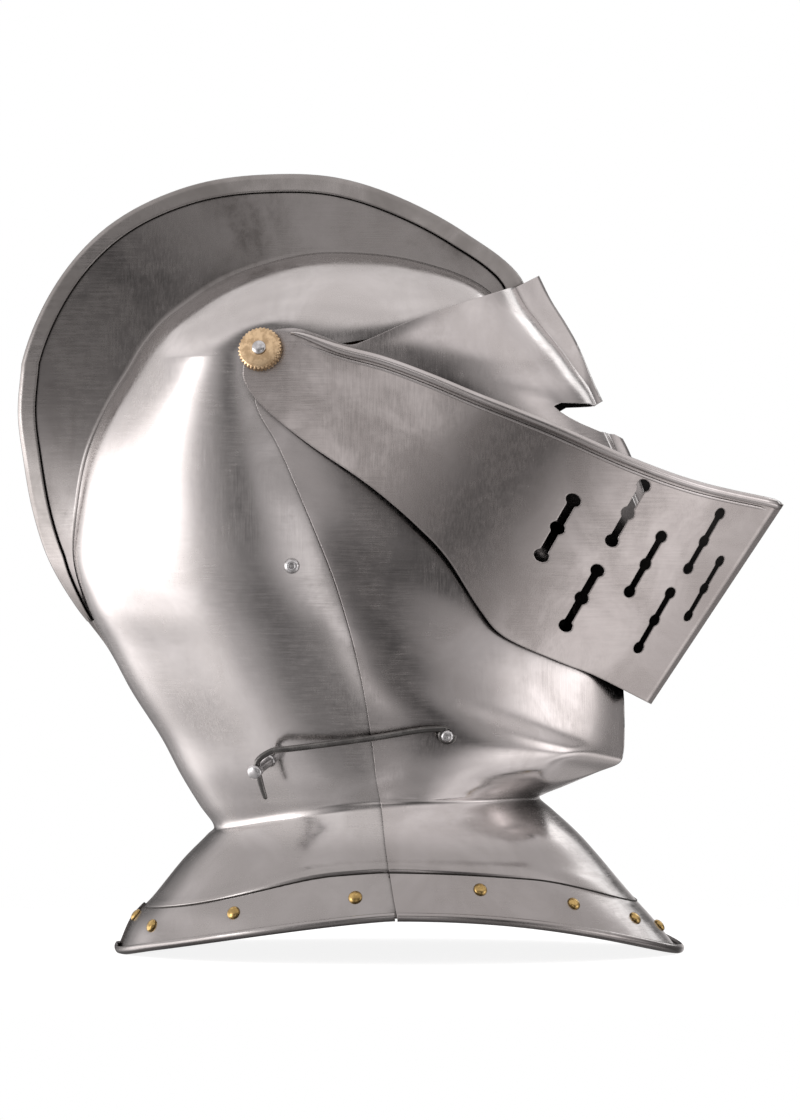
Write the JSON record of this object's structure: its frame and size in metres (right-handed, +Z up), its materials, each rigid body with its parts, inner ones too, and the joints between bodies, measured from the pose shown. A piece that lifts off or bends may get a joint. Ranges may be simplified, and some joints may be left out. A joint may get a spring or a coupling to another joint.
{
  "type": "knight helmet",
  "caption": "Close helmet with a tall comb, a swinging bevor, a visor with a sight, a pointed ventail with breath slots, a flared collar and a hook latch.",
  "frame": {"origin": "centre of the footprint box, at the height of the collar's lowest points", "axes": "+Z up; the face looks along -Y; the wearer's right is -X"},
  "size_m": [0.218, 0.3736, 0.3785],
  "materials": {
    "polished_steel": "polished with fine brush marks",
    "rivet_steel": "satin",
    "brass": "aged polish",
    "leather": "plain matt"
  },
  "bodies": {
    "skull": {"chin_strap_buckle": "brass", "chin_strap_left": "leather", "chin_strap_right": "leather", "comb_edge_binding": "polished_steel", "latch_stud": "rivet_steel", "liner_band": "leather", "liner_crown": "leather", "pivot_stud_left": "rivet_steel", "pivot_stud_right": "rivet_steel", "rear_rivet_left_1": "brass", "rear_rivet_left_2": "brass", "rear_rivet_left_3": "brass", "rear_rivet_left_4": "brass", "rear_rivet_right_1": "brass", "rear_rivet_right_2": "brass", "rear_rivet_right_3": "brass", "rear_rivet_right_4": "brass", "skull_left_half": "polished_steel", "skull_right_half": "polished_steel", "strap_rivet_left": "rivet_steel", "strap_rivet_right": "rivet_steel"},
    "bevor": {"bevor_shell": "polished_steel", "front_rivet_centre": "brass", "front_rivet_left_1": "brass", "front_rivet_left_2": "brass", "front_rivet_left_3": "brass", "front_rivet_right_1": "brass", "front_rivet_right_2": "brass", "front_rivet_right_3": "brass", "latch_rivet": "rivet_steel"},
    "ventail": {"ventail_shell": "polished_steel"},
    "visor": {"visor_shell": "polished_steel"},
    "latch_hook": {"latch_hook": "rivet_steel"},
    "pivot_nut_right": {"pivot_nut_right": "brass", "pivot_washer_right": "rivet_steel"},
    "pivot_nut_left": {"pivot_nut_left": "brass", "pivot_washer_left": "rivet_steel"}
  },
  "joints": [
    {"name": "bevor_hinge", "type": "hinge", "parent": "skull", "child": "bevor", "pos_m": [0, 0.0586, 0.2863], "axis": [-1, 0, 0], "range_deg": [0, 60]},
    {"name": "ventail_hinge", "type": "hinge", "parent": "bevor", "child": "ventail", "pos_m": [0, 0.0586, 0.2863], "axis": [-1, 0, 0], "range_deg": [0, 50]},
    {"name": "visor_hinge", "type": "hinge", "parent": "bevor", "child": "visor", "pos_m": [0, 0.0586, 0.2863], "axis": [-1, 0, 0], "range_deg": [0, 45]},
    {"name": "latch_hook_hinge", "type": "hinge", "parent": "bevor", "child": "latch_hook", "pos_m": [-0.07381, -0.0265, 0.1088], "axis": [0.9578, 0, 0.2873], "range_deg": [0, 20]},
    {"name": "pivot_nut_right_turn", "type": "hinge", "parent": "skull", "child": "pivot_nut_right", "pos_m": [-0.0921, 0.0586, 0.2863], "axis": [-0.9397, 0.171, 0.2962], "continuous": true},
    {"name": "pivot_nut_left_turn", "type": "hinge", "parent": "skull", "child": "pivot_nut_left", "pos_m": [0.0921, 0.0586, 0.2863], "axis": [0.9397, 0.171, 0.2962], "continuous": true}
  ]
}
